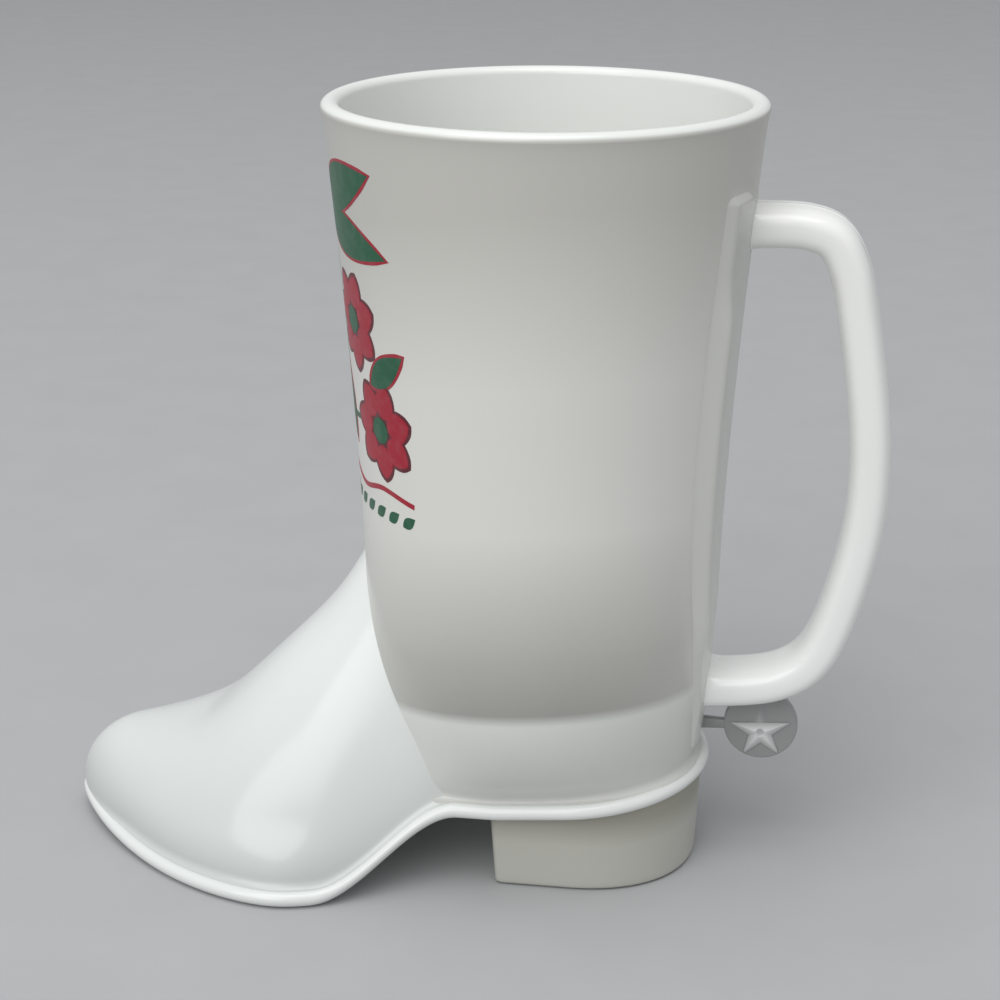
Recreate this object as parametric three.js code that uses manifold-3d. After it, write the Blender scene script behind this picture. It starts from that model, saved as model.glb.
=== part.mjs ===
// A boot-shaped drinking mug in moulded plastic: a flared cup for the boot's shaft, a hollow foot,
// a rolled welt, a sole and a heel under it, a flat strap up the back, a handle and a small spur.
// Millimetres, +Z up. The origin is on the cup's axis at table level, -X is the toe and +X the handle.

import * as THREE from 'three';
import { mergeVertices } from 'three/addons/utils/BufferGeometryUtils.js';
import Module from 'manifold-3d';

// Cup
const CUP_HEIGHT = 165;
const RIM_RADIUS = 44.7;
const ANKLE_RADIUS = 37.7;
const ANKLE_HEIGHT = 60;
const FLARE_POWER = 1.55;
const CUP_WALL = 3.4;
const FLOOR_HEIGHT = 45;
const FLOOR_THICKNESS = 3.2;
const FLOOR_FILLET = 5;
const SKIRT_CURVE = 2.1;
const SKIRT_FRONT_REACH = 31;
const SKIRT_FRONT_SQUARENESS = 4;
const SKIRT_BACK_SQUARENESS = 2.4;
const SKIRT_SQUARING = 8;

// Sole outline, seen from above, measured at the outside of the welt
const TOE_X = -106.7;
const BALL_X = -52;
const BALL_HALF_WIDTH = 42;
const TOE_POINTEDNESS = 1.7;
const TOE_SHARPNESS = 0.81;
const WAIST_X = -14;
const HEEL_HALF_WIDTH = 28.8;
const HEEL_X = 37.2;

// Sole height along the boot
const TOE_SPRING = 2.7;
const SPRING_X = -72;
const ARCH_START_X = -43.4;
const ARCH_END_X = -14;
const HEEL_HEIGHT = 17.1;
const SEAT_START_X = -6;
const SEAT_RISE = 3.6;
const WELT_RADIUS = 1.6;
const WELT_LEDGE = 1.8;
const SOLE_THICKNESS = 2.8;
const SOLE_INSET_SHARE = 1.5;

// Foot
const FOOT_WALL = 2.6;
const TOE_LEDGE = 0.4;
const TOE_LEDGE_LENGTH = 20;
const TOE_CAP_LENGTH = 12.7;
const TOE_CAP_HEIGHT = 13.4;
const TOE_SLOPE = 0.19;
const INSTEP_START_X = -74.8;
const INSTEP_SLOPE = 0.82;
const INSTEP_BLEND = 1.8;
const INSTEP_FLANK_BLEND = 6;
const COLLAR_START_X = -44;
const COLLAR_SLOPE = 0.79;
const COLLAR_BLEND = 2.5;
const TOE_SECTION_POWER = 1.1;
const INSTEP_SECTION_POWER = 2;
const CREST_POWER = 10;
const FOOT_BACK_X = -14.5;

// Heel block, set back under the welt and narrower at the table
const HEEL_SIDE_INSET_TOP = 2.2;
const HEEL_SIDE_INSET_BOTTOM = 4.6;
const HEEL_BACK_INSET_TOP = 1.4;
const HEEL_BACK_INSET_BOTTOM = 2.5;
const HEEL_SQUARENESS = 2.25;
const HEEL_BREAST_TOP_X = -7.6;
const HEEL_BREAST_BOTTOM_X = -6.6;
const HEEL_WALL = 2.6;
const HEEL_EDGE_ROUND = 0.7;

// Strap up the back of the cup, narrowing towards the heel
const STRAP_TOP_DROP = 16.5;
const STRAP_BOTTOM_HEIGHT = 28;
const STRAP_TOP_HALF_WIDTH = 20.7;
const STRAP_BOTTOM_HALF_WIDTH = 8.5;
const STRAP_TAPER = 3.8;
const STRAP_BEVEL = 1.6;
const STRAP_CROWN = 1.6;
const STRAP_SEAT_DEPTH = 1.4;

// Handle
const HANDLE_TOP_DROP = 24.5;
const HANDLE_BOTTOM_HEIGHT = 40.2;
const HANDLE_DEPTH = 15;
const HANDLE_ARM_THICKNESS = 8.4;
const HANDLE_GRIP_THICKNESS = 8.5;
const HANDLE_SQUARENESS = 3;
const HANDLE_ROOT_FLARE = 0.14;
const HANDLE_ROOT_FLARE_LENGTH = 2.2;
const HANDLE_ROOT_SINK = 0.8;
// Centre line from the upper to the lower root: reach from the strap, share of the height between roots
const HANDLE_PATH = [
  [10.6, 0.999], [16, 0.98], [19.8, 0.926], [23.2, 0.823], [29.2, 0.527],
  [28.6, 0.314], [21.9, 0.078], [15.2, 0.023], [3.5, 0],
];

// Spur
const ROWEL_REACH = 12.4;
const ROWEL_HEIGHT = 30.7;
const ROWEL_RADIUS = 7.95;
const ROWEL_THICKNESS = 2.2;
const STAR_POINTS = 5;
const STAR_RADIUS = 6.75;
const STAR_INNER_RADIUS = 2.58;
const STAR_DROP = 2;
const STAR_TURN = 3.3;
const STAR_EDGE_RELIEF = 0.3;
const STAR_PEAK_RELIEF = 1.2;
const STAR_PEAK_FLAT = 0.01;
const SHANK_ROOT_HEIGHT = 3;
const SHANK_TIP_HEIGHT = 2.3;
const SHANK_ROOT_DEPTH = 2.4;
const SHANK_TIP_DEPTH = 2;
const SHANK_DROP = 0.5;

// Gap left between neighbouring pieces
const FIT_GAP = 0.3;

// Mesh fineness
const CUP_SIDES = 64;
const SHAFT_LEVELS = 9;
const LIP_STEPS = 6;
const INSIDE_LEVELS = 8;
const FLOOR_FILLET_STEPS = 4;
const SKIRT_SHARES = [0.2, 0.4, 0.55, 0.7, 0.8, 0.9, 1];
const UNDERSIDE_SHARES = [0, 0.35, 0.7, 1];
const FOOT_STATIONS = 24;
const FOOT_SECTION_STEPS = 18;
const WELT_STEPS_PER_SIDE = 36;
const WELT_SIDES = 10;
const SOLE_STATIONS = 34;
const HEEL_BACK_STEPS = 18;
const STRAP_LEVELS = 14;
const STRAP_FACE_STEPS = 8;
const HANDLE_STATIONS = 34;
const HANDLE_SIDES = 16;
const ROWEL_SIDES = 36;
const SHANK_SIDES = 12;

const wasm = await Module();
wasm.setup();

const { lerp, clamp, smoothstep } = THREE.MathUtils;

// Signed power, for superellipse sections
function signedPower(value, power) {
  return Math.sign(value) * Math.abs(value) ** power;
}

// Evenly spaced values from 0 to 1
function steps(count) {
  return Array.from({ length: count + 1 }, (_, index) => index / count);
}

// Closed solid skinned over a row of rings, each end closed by a fan, or joined end to end as a loop
function loft(rings, isLoop = false) {
  const count = rings[0].length;
  const points = rings.flat();
  const triangles = [];
  const strips = isLoop ? rings.length : rings.length - 1;
  for (let strip = 0; strip < strips; strip++) {
    const near = strip * count;
    const far = ((strip + 1) % rings.length) * count;
    for (let i = 0; i < count; i++) {
      const j = (i + 1) % count;
      triangles.push(near + i, near + j, far + j, near + i, far + j, far + i);
    }
  }
  if (!isLoop) {
    const lastRing = (rings.length - 1) * count;
    points.push(centreOf(rings[0]), centreOf(rings.at(-1)));
    const startCentre = points.length - 2;
    const endCentre = points.length - 1;
    for (let i = 0; i < count; i++) {
      const j = (i + 1) % count;
      triangles.push(startCentre, j, i, endCentre, lastRing + i, lastRing + j);
    }
  }
  return solidFrom(points, triangles);
}

function centreOf(ring) {
  const sum = ring.reduce((total, point) => total.add(point), new THREE.Vector3());
  return sum.divideScalar(ring.length);
}

// Solid from points and triangles, turned so that its faces point out
function solidFrom(points, triangles) {
  let volume = 0;
  for (let i = 0; i < triangles.length; i += 3) {
    const [a, b, c] = triangles.slice(i, i + 3).map((index) => points[index]);
    volume += a.dot(b.clone().cross(c));
  }
  const geometry = new THREE.BufferGeometry().setFromPoints(points);
  geometry.setIndex(volume < 0 ? triangles.slice().reverse() : triangles);
  const merged = mergeVertices(geometry, 1e-4);
  return new wasm.Manifold(new wasm.Mesh({
    numProp: 3,
    vertProperties: merged.attributes.position.array,
    triVerts: Uint32Array.from(merged.index.array),
  }));
}

function pieceMesh(name, solid, material) {
  const { vertProperties, triVerts } = solid.getMesh();
  const geometry = new THREE.BufferGeometry();
  geometry.setAttribute('position', new THREE.BufferAttribute(vertProperties, 3));
  geometry.setIndex(new THREE.BufferAttribute(triVerts, 1));
  geometry.computeVertexNormals();
  const piece = new THREE.Mesh(geometry, material);
  piece.name = name;
  return piece;
}

// Height of the welt's underside at x: toe spring, flat ball, arch, then the rising heel seat
function weltBottom(x) {
  const spring = TOE_SPRING * clamp((SPRING_X - x) / (SPRING_X - TOE_X), 0, 1) ** 2;
  const arch = HEEL_HEIGHT * smoothstep(x, ARCH_START_X, ARCH_END_X);
  const seat = SEAT_RISE * clamp((x - SEAT_START_X) / (HEEL_X - SEAT_START_X), 0, 1);
  return spring + arch + seat;
}

function weltCentre(x) {
  return weltBottom(x) + WELT_RADIUS;
}

// Height on which the foot and the cup's skirt stand, just over the welt
function upperBase(x) {
  return weltCentre(x) + WELT_RADIUS + FIT_GAP;
}

// Half width of the sole's outline at x, drawn in by an inset
function planHalfWidth(x, inset) {
  const ball = BALL_HALF_WIDTH - inset;
  const heel = HEEL_HALF_WIDTH - inset;
  const heelCentre = HEEL_X - HEEL_HALF_WIDTH;
  if (x < BALL_X) {
    const tip = TOE_X + inset;
    const share = clamp((x - tip) / (BALL_X - tip), 0, 1);
    return ball * (1 - (1 - share) ** TOE_POINTEDNESS) ** TOE_SHARPNESS;
  }
  if (x < heelCentre) {
    return lerp(ball, heel, smoothstep(x, BALL_X, WAIST_X));
  }
  return Math.sqrt(Math.max(heel ** 2 - (x - heelCentre) ** 2, 0));
}

// Places along the outline from toe to heel, close together at both round ends
function planStations(count, inset) {
  return steps(count).map((share) => {
    const eased = (1 - Math.cos(Math.PI * share)) / 2;
    return lerp(TOE_X + inset, HEEL_X - inset, eased);
  });
}

// Outer radius of the cup's shaft above the ankle
function shaftRadius(z) {
  const share = clamp((z - ANKLE_HEIGHT) / (CUP_HEIGHT - ANKLE_HEIGHT), 0, 1);
  return lerp(ANKLE_RADIUS, RIM_RADIUS, share ** FLARE_POWER);
}

// Semi-axes and squareness of the cup's outside at a share of the way down from ankle to welt, to the back
// or, where along is negative, to the front
function skirtSection(share, along) {
  const curved = share ** SKIRT_CURVE;
  const front = lerp(ANKLE_RADIUS, SKIRT_FRONT_REACH, curved);
  const back = lerp(ANKLE_RADIUS, HEEL_X - WELT_LEDGE, share);
  const squareness = along > 0 ? SKIRT_BACK_SQUARENESS : SKIRT_FRONT_SQUARENESS;
  return {
    side: lerp(ANKLE_RADIUS, HEEL_HALF_WIDTH - WELT_LEDGE, curved),
    reach: along > 0 ? back : front,
    power: 2 / lerp(2, squareness, share ** SKIRT_SQUARING),
  };
}

// How far down from ankle to welt a height lies, at x
function skirtShare(z, x) {
  return clamp((ANKLE_HEIGHT - z) / (ANKLE_HEIGHT - upperBase(Math.max(x, WAIST_X))), 0, 1);
}

// X of the cup's back, on the centre plane
function backX(z) {
  return z < ANKLE_HEIGHT ? skirtSection(skirtShare(z, HEEL_X), HEEL_X).reach : shaftRadius(z);
}

// Ring round the cup's shaft at a height, drawn in by an inset
function shaftRing(z, inset) {
  const radius = shaftRadius(z) - inset;
  return steps(CUP_SIDES).slice(1).map((share) => {
    const angle = share * 2 * Math.PI;
    return new THREE.Vector3(radius * Math.cos(angle), radius * Math.sin(angle), z);
  });
}

// Ring round the cup's skirt: share 0 is the ankle and share 1 the welt, or a flat top below the ankle
function skirtRing(share, inset, topHeight = ANKLE_HEIGHT) {
  return steps(CUP_SIDES).slice(1).map((turn) => {
    const angle = turn * 2 * Math.PI;
    const along = Math.cos(angle);
    const guess = skirtSection(share, along);
    const roughX = signedPower(along, guess.power) * guess.reach;
    const base = upperBase(Math.max(roughX, WAIST_X));
    const z = lerp(topHeight, base, share);
    const section = skirtSection(skirtShare(z, roughX), along);
    const x = (section.reach - inset) * signedPower(along, section.power);
    const y = (section.side - inset) * signedPower(Math.sin(angle), section.power);
    return new THREE.Vector3(x, y, z);
  });
}

const shaftShares = steps(SHAFT_LEVELS);
const lipRadius = CUP_WALL / 2;
const lipHeight = CUP_HEIGHT - lipRadius;

// The cup's whole outer form, as a flat-bottomed plug without its hollows
function cupPlug(growth) {
  const skirt = SKIRT_SHARES.map((share) => skirtRing(share, -growth)).reverse();
  const bottom = skirt[0].map((point) => point.clone().setZ(upperBase(WAIST_X) - growth));
  const shaft = shaftShares.map((share) => shaftRing(lerp(ANKLE_HEIGHT, CUP_HEIGHT, share), -growth));
  return loft([bottom, ...skirt, ...shaft]);
}

// Open cup with a round lip and a filleted floor over a hollow skirt, the strap's seat cut into its back
function drinkingCup() {
  const underside = UNDERSIDE_SHARES.map((share) => skirtRing(share, CUP_WALL, FLOOR_HEIGHT));
  const skirt = SKIRT_SHARES.map((share) => skirtRing(share, 0)).reverse();
  const shaft = shaftShares.map((share) => shaftRing(lerp(ANKLE_HEIGHT, lipHeight, share), 0));
  const lip = steps(LIP_STEPS).slice(1, -1).map((share) => {
    const angle = share * Math.PI;
    const ring = shaftRing(CUP_HEIGHT, lipRadius * (1 - Math.cos(angle)));
    return ring.map((point) => point.setZ(lipHeight + lipRadius * Math.sin(angle)));
  });
  const filletTop = FLOOR_HEIGHT + FLOOR_THICKNESS + FLOOR_FILLET;
  const inside = steps(INSIDE_LEVELS).map((share) => shaftRing(lerp(lipHeight, filletTop, share), CUP_WALL));
  const fillet = steps(FLOOR_FILLET_STEPS).slice(1).map((share) => {
    const angle = share * Math.PI / 2;
    const ring = shaftRing(filletTop, CUP_WALL + FLOOR_FILLET * (1 - Math.cos(angle)));
    return ring.map((point) => point.setZ(filletTop - FLOOR_FILLET * Math.sin(angle)));
  });
  return loft([...underside, ...skirt, ...shaft, ...lip, ...inside, ...fillet])
    .subtract(strapPlate(FIT_GAP, STRAP_CROWN + STRAP_BEVEL));
}

const strapTop = CUP_HEIGHT - STRAP_TOP_DROP;

function strapHalfWidth(z) {
  const share = clamp((z - STRAP_BOTTOM_HEIGHT) / (strapTop - STRAP_BOTTOM_HEIGHT), 0, 1);
  return lerp(STRAP_BOTTOM_HALF_WIDTH, STRAP_TOP_HALF_WIDTH, 1 - (1 - share) ** STRAP_TAPER);
}

// X of the cup's round outside at a height and a distance off the centre plane, drawn in by a depth
function cupSurfaceX(z, y, depth) {
  const share = skirtShare(z, HEEL_X);
  const section = skirtSection(share, HEEL_X);
  const side = (z < ANKLE_HEIGHT ? section.side : shaftRadius(z)) - depth;
  const exponent = z < ANKLE_HEIGHT ? 2 / section.power : 2;
  return (backX(z) - depth) * (1 - Math.min(Math.abs(y) / side, 1) ** exponent) ** (1 / exponent);
}

// Plate let into the cup's back: flat-crowned outside with bevelled edges, curved to the cup inside.
// A growth widens it all round, and a lift moves its outer face out, for cutting its neighbours.
function strapPlate(growth, lift) {
  const rings = steps(STRAP_LEVELS).map((share) => {
    const z = lerp(STRAP_BOTTOM_HEIGHT - growth, strapTop + growth, share);
    const halfWidth = strapHalfWidth(z) + growth;
    const crownHalf = halfWidth - STRAP_BEVEL;
    const across = steps(STRAP_FACE_STEPS).map((step) => lerp(-1, 1, step));
    const outer = across.map((side) => {
      const y = side * crownHalf;
      const drop = STRAP_CROWN * (y / (STRAP_TOP_HALF_WIDTH - STRAP_BEVEL)) ** 2;
      return new THREE.Vector3(backX(z) - drop + lift, y, z);
    });
    const inner = across.map((side) => {
      const y = -side * halfWidth;
      return new THREE.Vector3(cupSurfaceX(z, y, STRAP_SEAT_DEPTH + growth), y, z);
    });
    const edges = [-1, 1].map((side) => {
      const y = side * halfWidth;
      return new THREE.Vector3(cupSurfaceX(z, y, 0) + lift, y, z);
    });
    return [edges[0], ...outer, edges[1], ...inner];
  });
  return loft(rings);
}

// Distance past a starting place, coming in softly over a blend
function softRamp(x, start, blend) {
  return blend * Math.log1p(Math.exp((x - start) / blend));
}

// Height of the foot's top at x: a round toe cap on a gentle slope, then the instep's climb over a blend
function topHeight(x, tip, blend) {
  const share = clamp((x - tip) / TOE_CAP_LENGTH, 0, 1);
  const cap = TOE_CAP_HEIGHT * Math.sqrt(1 - (1 - share) ** 2);
  const climb = INSTEP_SLOPE * softRamp(x, INSTEP_START_X, blend);
  return upperBase(TOE_X) + cap + TOE_SLOPE * (x - tip) + climb;
}

// Height by which the ridge alone sweeps up where it reaches the shaft
function collarHeight(x) {
  return COLLAR_SLOPE * softRamp(x, COLLAR_START_X, COLLAR_BLEND);
}

// Width of the welt that shows round the foot: narrow at the toe, full from the toe cap's back
function ledgeWidth(x) {
  return lerp(TOE_LEDGE, WELT_LEDGE, smoothstep(x, TOE_X, TOE_X + TOE_LEDGE_LENGTH));
}

// The foot's outer form, drawn in by an inset and sunk by a depth below its own base
function footPlug(inset, sink, endX) {
  const tip = TOE_X + TOE_LEDGE + inset;
  const rings = steps(FOOT_STATIONS).slice(1).map((share) => {
    const x = lerp(tip, endX, 1 - Math.cos(share * Math.PI / 2));
    const base = upperBase(x) - sink;
    const halfWidth = planHalfWidth(x, ledgeWidth(x) + inset);
    const power = lerp(TOE_SECTION_POWER, INSTEP_SECTION_POWER, smoothstep(x, TOE_X, FOOT_BACK_X));
    return steps(FOOT_SECTION_STEPS).map((turn) => {
      const angle = turn * Math.PI;
      const crest = Math.sin(angle) ** CREST_POWER;
      const blend = lerp(INSTEP_FLANK_BLEND, INSTEP_BLEND, crest);
      const top = Math.max(topHeight(x, tip, blend) - inset, base + FOOT_WALL);
      const y = -halfWidth * Math.cos(angle);
      const z = base + (top - base) * Math.sin(angle) ** power + collarHeight(x) * crest;
      return new THREE.Vector3(x, y, z);
    });
  });
  return loft(rings);
}

// Hollow foot, open below, its back edge scribed to the cup
function foot() {
  return footPlug(0, 0, FOOT_BACK_X)
    .subtract(footPlug(FOOT_WALL, FOOT_WALL, FOOT_BACK_X + FOOT_WALL))
    .subtract(cupPlug(FIT_GAP));
}

// Rolled bead right round the sole's edge, fattened where it is used as a cutter
function weltTube(radius) {
  const nearSide = planStations(WELT_STEPS_PER_SIDE, WELT_RADIUS)
    .map((x) => new THREE.Vector2(x, -planHalfWidth(x, WELT_RADIUS)));
  const farSide = nearSide.slice(1, -1).reverse().map((point) => new THREE.Vector2(point.x, -point.y));
  const path = [...nearSide, ...farSide];
  const rings = path.map((point, index) => {
    const before = path.at(index - 1);
    const after = path[(index + 1) % path.length];
    const along = after.clone().sub(before).normalize();
    return steps(WELT_SIDES).slice(1).map((share) => {
      const angle = share * 2 * Math.PI - Math.PI / 2;
      const out = radius * Math.cos(angle);
      const z = weltCentre(point.x) + radius * Math.sin(angle);
      return new THREE.Vector3(point.x + along.y * out, point.y - along.x * out, z);
    });
  });
  return loft(rings, true);
}

// Slab over the sole's underside at a row of places, let down by a drop
function soleSlab(stations, halfWidthAt, drop, thickness) {
  return loft(stations.map((x) => {
    const halfWidth = halfWidthAt(x);
    const bottom = weltBottom(x) - drop;
    const top = bottom + thickness;
    return [[-1, bottom], [1, bottom], [1, top], [-1, top]]
      .map(([side, z]) => new THREE.Vector3(x, side * halfWidth, z));
  }));
}

// Plate inside the welt, flat under the ball and arched up to the heel, its edge hollowed to the welt
function sole() {
  const inset = SOLE_INSET_SHARE * WELT_RADIUS;
  const stations = planStations(SOLE_STATIONS, inset).slice(1, -1);
  return soleSlab(stations, (x) => planHalfWidth(x, inset), 0, SOLE_THICKNESS)
    .subtract(weltTube(WELT_RADIUS + FIT_GAP));
}

const heelTop = HEEL_HEIGHT + SEAT_RISE;

// Outline of the heel at a height, drawn in by an inset: straight breast, round back
function heelRing(z, inset) {
  const share = z / heelTop;
  const sideInset = lerp(HEEL_SIDE_INSET_BOTTOM, HEEL_SIDE_INSET_TOP, share) + inset;
  const backInset = lerp(HEEL_BACK_INSET_BOTTOM, HEEL_BACK_INSET_TOP, share) + inset;
  const breast = lerp(HEEL_BREAST_BOTTOM_X, HEEL_BREAST_TOP_X, share) + inset;
  const halfWidth = HEEL_HALF_WIDTH - sideInset;
  const backReach = HEEL_HALF_WIDTH - backInset;
  const centre = HEEL_X - HEEL_HALF_WIDTH;
  const back = steps(HEEL_BACK_STEPS).map((turn) => {
    const angle = lerp(-Math.PI / 2, Math.PI / 2, turn);
    const x = centre + backReach * signedPower(Math.cos(angle), 2 / HEEL_SQUARENESS);
    const y = halfWidth * signedPower(Math.sin(angle), 2 / HEEL_SQUARENESS);
    return new THREE.Vector3(x, y, z);
  });
  return [new THREE.Vector3(breast, -halfWidth, z), ...back, new THREE.Vector3(breast, halfWidth, z)];
}

// Heel block: flat closed bottom with a softened edge, hollow above, its top cut to the sole's slope
function heel() {
  const block = loft([heelRing(0, HEEL_EDGE_ROUND), heelRing(HEEL_EDGE_ROUND, 0), heelRing(heelTop, 0)]);
  const hollow = loft([heelRing(HEEL_WALL, HEEL_WALL), heelRing(heelTop + HEEL_WALL, HEEL_WALL)]);
  const spaceAbove = soleSlab(planStations(SOLE_STATIONS, 0), () => BALL_HALF_WIDTH, FIT_GAP, CUP_HEIGHT);
  return block.subtract(hollow).subtract(spaceAbove);
}

// Handle swept along its centre line, thicker in the grip, flared where it meets the strap.
// A growth fattens it all round, where it is used as a cutter.
function handleSweep(growth) {
  const topZ = CUP_HEIGHT - HANDLE_TOP_DROP;
  const rootPoint = (z) => new THREE.Vector3(backX(z) - HANDLE_ROOT_SINK, 0, z);
  const between = HANDLE_PATH.map(([reach, share]) => {
    const z = lerp(HANDLE_BOTTOM_HEIGHT, topZ, share);
    return new THREE.Vector3(backX(z) + reach, 0, z);
  });
  const path = new THREE.CatmullRomCurve3([rootPoint(topZ), ...between, rootPoint(HANDLE_BOTTOM_HEIGHT)]);
  const length = path.getLength();
  const rings = steps(HANDLE_STATIONS).map((share) => {
    const centre = path.getPointAt(share);
    const along = path.getTangentAt(share);
    const outward = new THREE.Vector3(-along.z, 0, along.x);
    const toRoot = length * Math.min(share, 1 - share);
    const flare = 1 + HANDLE_ROOT_FLARE * Math.exp(-toRoot / HANDLE_ROOT_FLARE_LENGTH);
    const gripShare = Math.sin(share * Math.PI);
    const halfThickness = flare * lerp(HANDLE_ARM_THICKNESS, HANDLE_GRIP_THICKNESS, gripShare) / 2 + growth;
    const halfDepth = flare * HANDLE_DEPTH / 2 + growth;
    return steps(HANDLE_SIDES).slice(1).map((turn) => {
      const angle = turn * 2 * Math.PI;
      const out = halfThickness * signedPower(Math.cos(angle), 2 / HANDLE_SQUARENESS);
      const side = halfDepth * signedPower(Math.sin(angle), 2 / HANDLE_SQUARENESS);
      return centre.clone().addScaledVector(outward, out).setY(side);
    });
  });
  return loft(rings);
}

// Handle with its two roots scribed to the strap
function handle() {
  return handleSweep(0).subtract(strapPlate(FIT_GAP, FIT_GAP));
}

const rowelCentre = new THREE.Vector3(backX(ROWEL_HEIGHT) + ROWEL_REACH, 0, ROWEL_HEIGHT);

// Round disc standing in the centre plane
function rowelDisc(radius, halfThickness) {
  const rings = [-halfThickness, halfThickness].map((y) => steps(ROWEL_SIDES).slice(1).map((share) => {
    const angle = share * 2 * Math.PI;
    return new THREE.Vector3(radius * Math.cos(angle), y, radius * Math.sin(angle)).add(rowelCentre);
  }));
  return loft(rings);
}

// Faceted star standing on one face of the disc, point up, its two lower points cut off by the rim
function rowelStar(side) {
  const outline = steps(2 * STAR_POINTS).slice(1).map((share, index) => {
    const reach = index % 2 ? STAR_RADIUS : STAR_INNER_RADIUS;
    const angle = Math.PI / 2 + THREE.MathUtils.degToRad(STAR_TURN) + share * 2 * Math.PI;
    const z = reach * Math.sin(angle) - STAR_DROP;
    return new THREE.Vector3(reach * Math.cos(angle), 0, z).add(rowelCentre);
  });
  const atDepth = (depth) => outline.map((point) => point.clone().setY(side * depth));
  const face = ROWEL_THICKNESS / 2;
  const peak = rowelCentre.clone().add(new THREE.Vector3(0, side * (face + STAR_PEAK_RELIEF), -STAR_DROP));
  const peakRing = outline.map((point) => peak.clone().lerp(point, STAR_PEAK_FLAT).setY(peak.y));
  const star = loft([atDepth(0), atDepth(face + STAR_EDGE_RELIEF), peakRing]);
  return star.intersect(rowelDisc(ROWEL_RADIUS, face + STAR_PEAK_RELIEF));
}

// Spur wheel with a star on both faces, its top edge scribed to the underside of the handle
function rowel() {
  return rowelDisc(ROWEL_RADIUS, ROWEL_THICKNESS / 2)
    .add(rowelStar(-1))
    .add(rowelStar(1))
    .subtract(handleSweep(FIT_GAP));
}

// Short stem from the strap to the spur wheel
function shank() {
  const rootX = backX(ROWEL_HEIGHT) + FIT_GAP;
  const tipX = rowelCentre.x - ROWEL_RADIUS / 2;
  const ring = (x, height, depth) => steps(SHANK_SIDES).slice(1).map((share) => {
    const angle = share * 2 * Math.PI;
    const y = depth / 2 * signedPower(Math.cos(angle), 2 / HANDLE_SQUARENESS);
    const z = height / 2 * signedPower(Math.sin(angle), 2 / HANDLE_SQUARENESS);
    return new THREE.Vector3(x, y, ROWEL_HEIGHT - SHANK_DROP + z);
  });
  const stem = loft([
    ring(rootX, SHANK_ROOT_HEIGHT, SHANK_ROOT_DEPTH),
    ring(tipX, SHANK_TIP_HEIGHT, SHANK_TIP_DEPTH),
  ]);
  return stem.subtract(rowelDisc(ROWEL_RADIUS + FIT_GAP, ROWEL_THICKNESS / 2 + FIT_GAP));
}

const whitePlastic = new THREE.MeshStandardMaterial({ color: 0xdcdedb, roughness: 0.25, metalness: 0 });
const brightPlastic = new THREE.MeshStandardMaterial({ color: 0xe6ecea, roughness: 0.22, metalness: 0 });
const creamPlastic = new THREE.MeshStandardMaterial({ color: 0xd2d0c6, roughness: 0.35, metalness: 0 });
const frostedPlastic = new THREE.MeshStandardMaterial({ color: 0xc8cccb, roughness: 0.4, metalness: 0 });

const boot = new THREE.Group();
boot.add(
  pieceMesh('drinking_cup', drinkingCup(), whitePlastic),
  pieceMesh('back_strap', strapPlate(0, 0), whitePlastic),
  pieceMesh('handle', handle(), brightPlastic),
  pieceMesh('foot', foot(), brightPlastic),
  pieceMesh('welt', weltTube(WELT_RADIUS), brightPlastic),
  pieceMesh('sole', sole(), brightPlastic),
  pieceMesh('heel', heel(), creamPlastic),
  pieceMesh('spur_shank', shank(), frostedPlastic),
  pieceMesh('spur_rowel', rowel(), frostedPlastic),
);

export default boot;
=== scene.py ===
"""A boot-shaped drinking mug in glossy white moulded plastic, with flowers printed on its front.

The mug's sizes are in millimetres, and turn into metres where a mesh or a tint is made. Its frame has
+Z up along the cup's axis, -X towards the toe, +X towards the handle, and the table at Z = 0.
"""

import math

import bmesh
import bpy
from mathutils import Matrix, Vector


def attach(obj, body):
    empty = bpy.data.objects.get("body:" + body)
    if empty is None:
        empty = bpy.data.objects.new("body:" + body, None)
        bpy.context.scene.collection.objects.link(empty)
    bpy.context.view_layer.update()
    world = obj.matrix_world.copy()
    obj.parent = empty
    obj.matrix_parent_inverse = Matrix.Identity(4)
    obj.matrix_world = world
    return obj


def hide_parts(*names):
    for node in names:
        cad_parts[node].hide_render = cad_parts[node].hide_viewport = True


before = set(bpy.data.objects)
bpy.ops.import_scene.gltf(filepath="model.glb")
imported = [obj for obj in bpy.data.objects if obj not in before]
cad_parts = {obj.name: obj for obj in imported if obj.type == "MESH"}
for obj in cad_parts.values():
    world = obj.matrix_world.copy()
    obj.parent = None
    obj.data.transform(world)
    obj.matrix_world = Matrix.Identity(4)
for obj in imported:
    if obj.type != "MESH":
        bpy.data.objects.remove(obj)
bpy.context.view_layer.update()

MM = 0.001
MERGE_DISTANCE = 1e-6

# Cup
CUP_HEIGHT = 165
RIM_RADIUS = 44.7
ANKLE_RADIUS = 37.7
ANKLE_HEIGHT = 60
FLARE_POWER = 1.55
CUP_WALL = 3.4
LIP_BULGE = 0.35
LIP_BULGE_LENGTH = 1.6
FLOOR_HEIGHT = 45
FLOOR_THICKNESS = 3.2
FLOOR_FILLET = 5
FLOOR_LINE_TILT = 0.083
FLOOR_LINE_BOW = 0.0026
SKIRT_CURVE = 2.1
SKIRT_FRONT_REACH = 31
SKIRT_FRONT_SQUARENESS = 4
SKIRT_BACK_SQUARENESS = 2.4
SKIRT_SQUARING = 8

# Sole outline, seen from above, measured at the outside of the welt
TOE_X = -106.7
BALL_X = -52
BALL_HALF_WIDTH = 42
TOE_POINTEDNESS = 1.7
TOE_SHARPNESS = 0.81
WAIST_X = -14
HEEL_HALF_WIDTH = 28.8
HEEL_X = 37.2

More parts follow.
